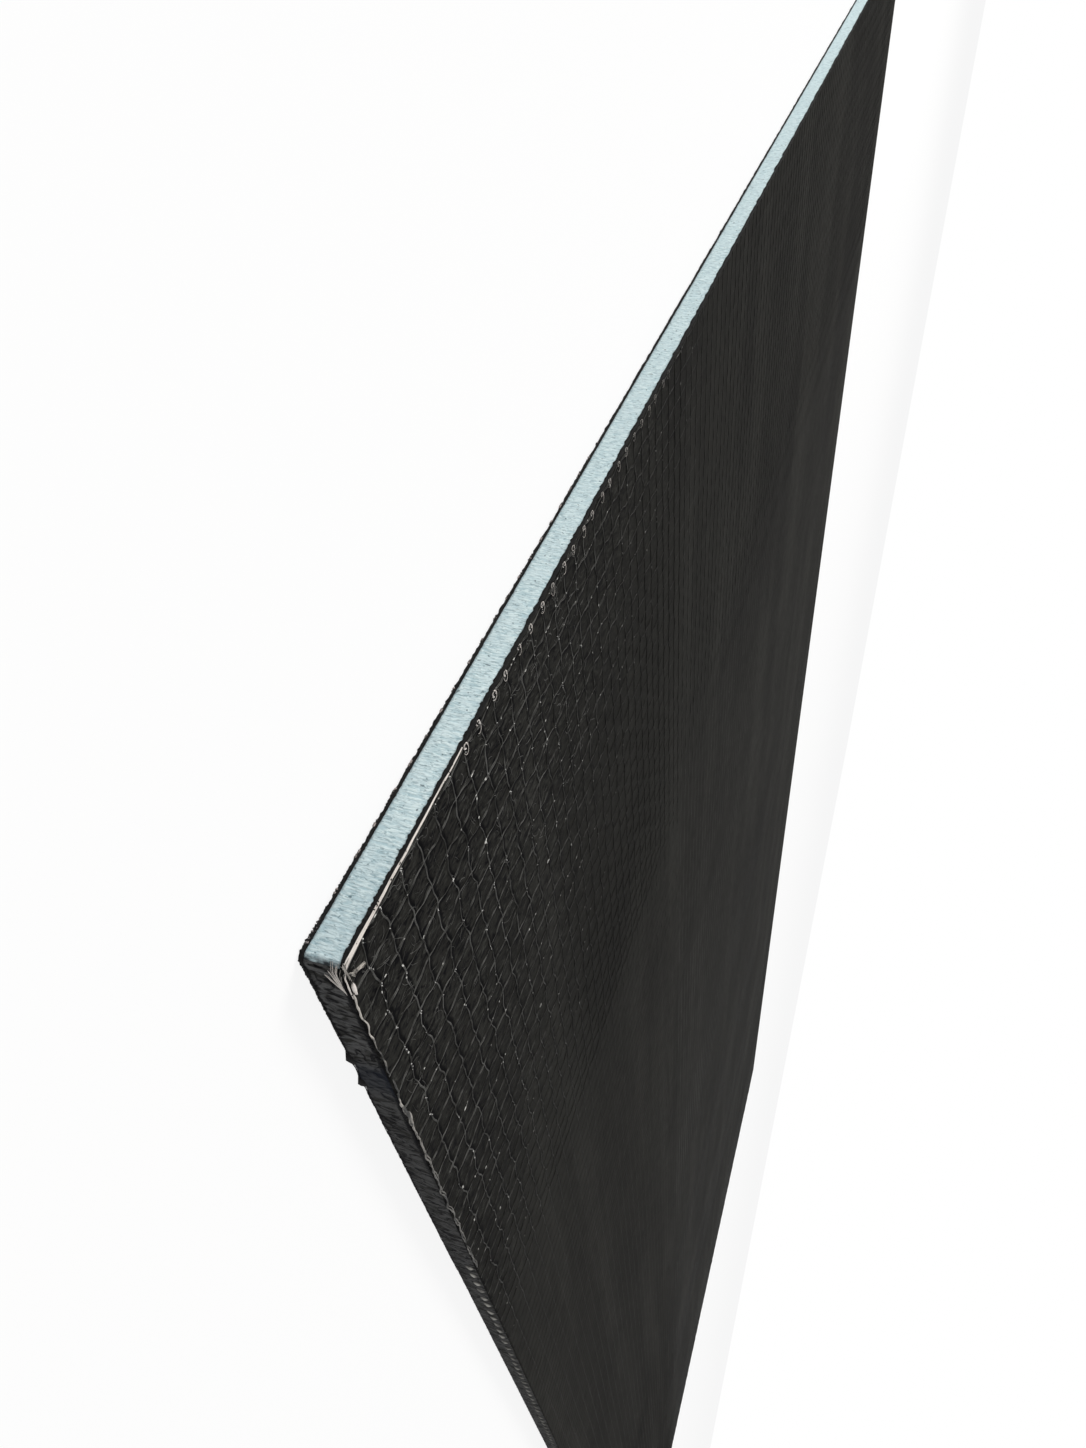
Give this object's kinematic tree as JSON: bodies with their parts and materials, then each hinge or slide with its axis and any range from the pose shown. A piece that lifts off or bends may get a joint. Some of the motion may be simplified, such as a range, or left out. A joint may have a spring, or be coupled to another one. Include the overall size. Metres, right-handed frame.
{
  "type": "coated insulation board",
  "caption": "Thin extruded foam insulation board, mortar-coated with glass-fibre mesh on both faces and wrapped along its long edges.",
  "frame": {"origin": "under the middle of the board, on the plane that it lies on", "axes": "+X along the board, +Y across it, +Z out of the front face; the sawn end and the wrapped edge that the picture shows are at -X and -Y"},
  "size_m": [1.25, 0.6, 0.006],
  "materials": {
    "foam": "pale blue extruded polystyrene, sawn, closed cells",
    "mortar": "black polymer mortar, matt, fine grained",
    "mesh": "glass-fibre mesh coated in black polymer mortar",
    "glass_yarn": "bare cream glass-fibre bundle"
  },
  "bodies": {
    "root": {"foam_core": "foam", "back_coat": "mortar", "front_coat": "mortar", "back_long_yarns": "mesh", "front_long_yarns": "mesh", "bared_end_yarn": "glass_yarn"}
  },
  "joints": []
}
